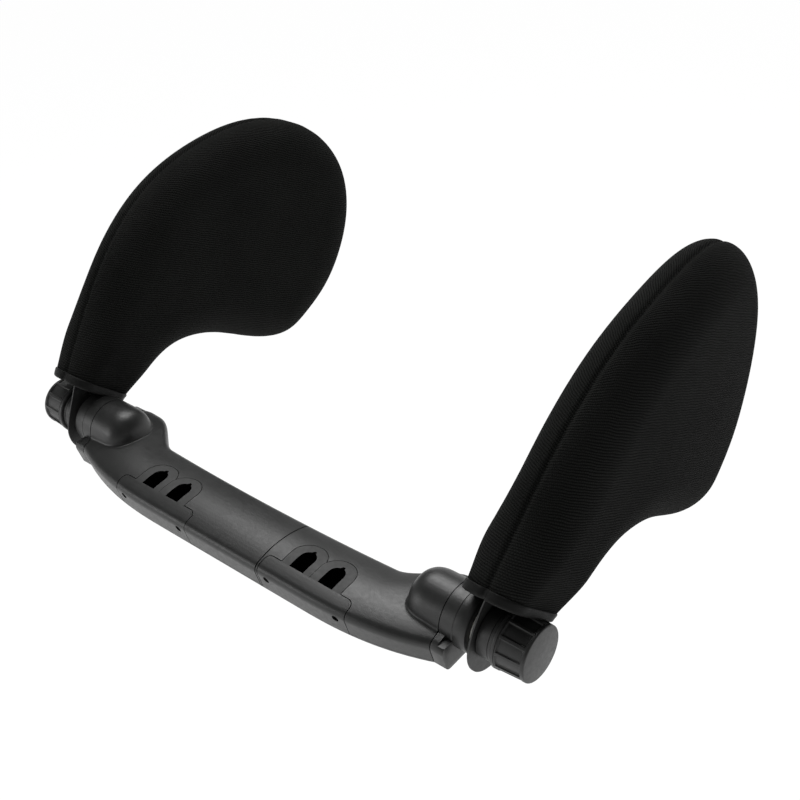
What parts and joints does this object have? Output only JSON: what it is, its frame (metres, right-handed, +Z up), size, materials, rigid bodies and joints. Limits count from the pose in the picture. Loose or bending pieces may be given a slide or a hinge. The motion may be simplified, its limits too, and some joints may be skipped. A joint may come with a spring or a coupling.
{
  "type": "headrest side support",
  "caption": "Telescopic bar that clamps on headrest posts and carries a padded, tilting side wing at each end.",
  "frame": {"origin": "midway between the two headrest posts, at half the bar's thickness", "axes": "+X along the bar towards the sliding half, +Y from the bar towards the tips of the wings, +Z up the headrest posts"},
  "size_m": [0.4084, 0.2994, 0.1751],
  "materials": {
    "moulded_shell": "dark charcoal, fine moulded grain, satin",
    "post_liner_plastic": "slightly lighter charcoal, grainy, matt",
    "knob_plastic": "dark charcoal, fluted grip, satin",
    "steel": "plated steel fastener",
    "brass": "plain turned brass",
    "nylon": "natural nylon, matt",
    "foam": "soft moulded foam, open pores",
    "knit_cover": "black ribbed stretch knit",
    "elastic_binding": "black woven elastic tape, faint sheen"
  },
  "bodies": {
    "bar": {"left_upper_shell": "moulded_shell", "left_lower_shell": "moulded_shell", "left_post_liner": "post_liner_plastic", "left_end_cap": "moulded_shell", "left_collar_pin": "steel", "left_cap_screw": "steel", "left_hinge_bolt": "steel", "left_bolt_washer": "steel", "left_friction_washer": "nylon", "left_shell_screw_1": "steel", "left_shell_screw_2": "steel", "travel_stop_screw": "steel", "slide_friction_spring": "steel"},
    "sliding_half": {"right_upper_shell": "moulded_shell", "right_lower_shell": "moulded_shell", "right_post_liner": "post_liner_plastic", "right_end_cap": "moulded_shell", "right_collar_pin": "steel", "right_cap_screw": "steel", "right_hinge_bolt": "steel", "right_bolt_washer": "steel", "right_friction_washer": "nylon", "right_shell_screw_1": "steel", "sliding_sleeve": "moulded_shell", "sleeve_screw_front": "steel", "sleeve_screw_rear": "steel"},
    "left_door": {"left_clamp_door": "moulded_shell", "left_door_screw_inner": "steel", "left_door_screw_outer": "steel"},
    "left_wing": {"left_arm": "moulded_shell", "left_hinge_bush": "brass", "left_pad_foam": "foam", "left_pad_cover": "knit_cover", "left_cuff_band": "elastic_binding"},
    "left_knob_carriage": {"left_spacer": "knob_plastic"},
    "left_knob_body": {"left_knob": "knob_plastic", "left_knob_nut": "brass"},
    "right_door": {"right_clamp_door": "moulded_shell", "right_door_screw_inner": "steel", "right_door_screw_outer": "steel"},
    "right_wing": {"right_arm": "moulded_shell", "right_hinge_bush": "brass", "right_pad_foam": "foam", "right_pad_cover": "knit_cover", "right_cuff_band": "elastic_binding"},
    "right_knob_carriage": {"right_spacer": "knob_plastic"},
    "right_knob_body": {"right_knob": "knob_plastic", "right_knob_nut": "brass"}
  },
  "joints": [
    {"name": "bar_extend", "type": "slide", "parent": "bar", "child": "sliding_half", "axis": [1, 0, 0], "range_m": [0, 0.027]},
    {"name": "left_door_release", "type": "slide", "parent": "bar", "child": "left_door", "axis": [0, -1, 0], "range_m": [0, 0.03]},
    {"name": "left_wing_tilt", "type": "hinge", "parent": "bar", "child": "left_wing", "pos_m": [-0.1672, 0.01885, 0.0108], "axis": [1, 0, 0], "range_deg": [-80, 100]},
    {"name": "left_knob_feed", "type": "slide", "parent": "bar", "child": "left_knob_carriage", "axis": [-1, 0, 0], "range_m": [0, 0.00376]},
    {"name": "left_knob_turn", "type": "hinge", "parent": "left_knob_carriage", "child": "left_knob_body", "pos_m": [-0.1886, 0.01885, 0.0108], "axis": [-1, 0, 0], "range_deg": [0, 1080]},
    {"name": "right_door_release", "type": "slide", "parent": "sliding_half", "child": "right_door", "axis": [0, -1, 0], "range_m": [0, 0.03]},
    {"name": "right_wing_tilt", "type": "hinge", "parent": "sliding_half", "child": "right_wing", "pos_m": [0.1672, 0.01885, 0.0108], "axis": [1, 0, 0], "range_deg": [-80, 100]},
    {"name": "right_knob_feed", "type": "slide", "parent": "sliding_half", "child": "right_knob_carriage", "axis": [1, 0, 0], "range_m": [0, 0.00376]},
    {"name": "right_knob_turn", "type": "hinge", "parent": "right_knob_carriage", "child": "right_knob_body", "pos_m": [0.1886, 0.01885, 0.0108], "axis": [1, 0, 0], "range_deg": [0, 1080]}
  ],
  "couplings": [
    {"joint": "left_knob_feed", "follows": "left_knob_turn", "m_per_rad": 0.00019894},
    {"joint": "right_knob_feed", "follows": "right_knob_turn", "m_per_rad": 0.00019894}
  ]
}
